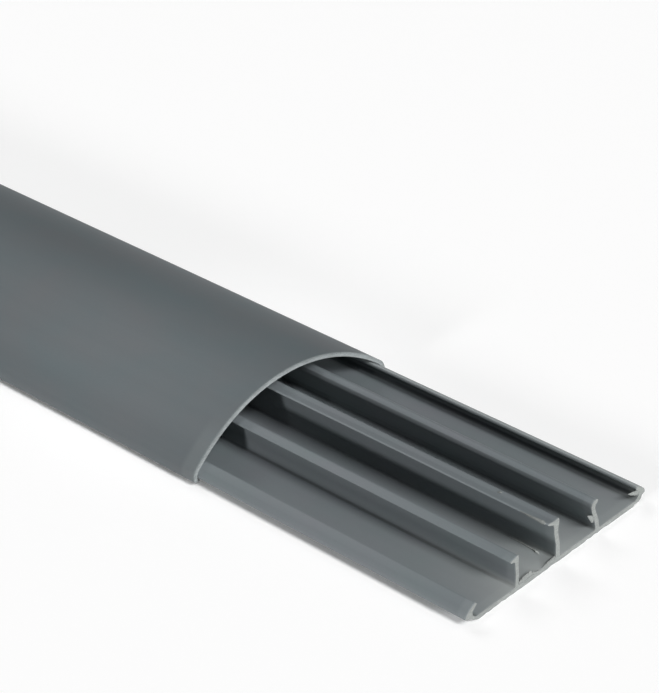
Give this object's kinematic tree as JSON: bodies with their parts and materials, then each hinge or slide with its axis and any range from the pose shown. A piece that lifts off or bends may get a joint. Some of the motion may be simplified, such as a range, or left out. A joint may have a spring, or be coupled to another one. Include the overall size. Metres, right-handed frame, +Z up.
{
  "type": "floor cord cover",
  "caption": "Low arched floor cord cover: an extruded tray with partition ribs forming cable channels, and a clip-on curved cover slid back to show the open end.",
  "frame": {"origin": "middle of the tray's flat underside", "axes": "+X along the length towards the open end where the tray shows, +Y across, towards the far edge of the picture's view, +Z up"},
  "size_m": [1.0888, 0.075, 0.018],
  "materials": {
    "tray_pvc": "satin grey PVC, paler and rough on the sawn ends",
    "cover_pvc": "satin grey PVC with faint lines along the extrusion"
  },
  "bodies": {
    "tray": {"tray": "tray_pvc"},
    "cover": {"cover": "cover_pvc"}
  },
  "joints": [
    {"name": "cover_slide", "type": "slide", "parent": "tray", "child": "cover", "axis": [1, 0, 0], "range_m": [-0.912, 0.0888]}
  ]
}
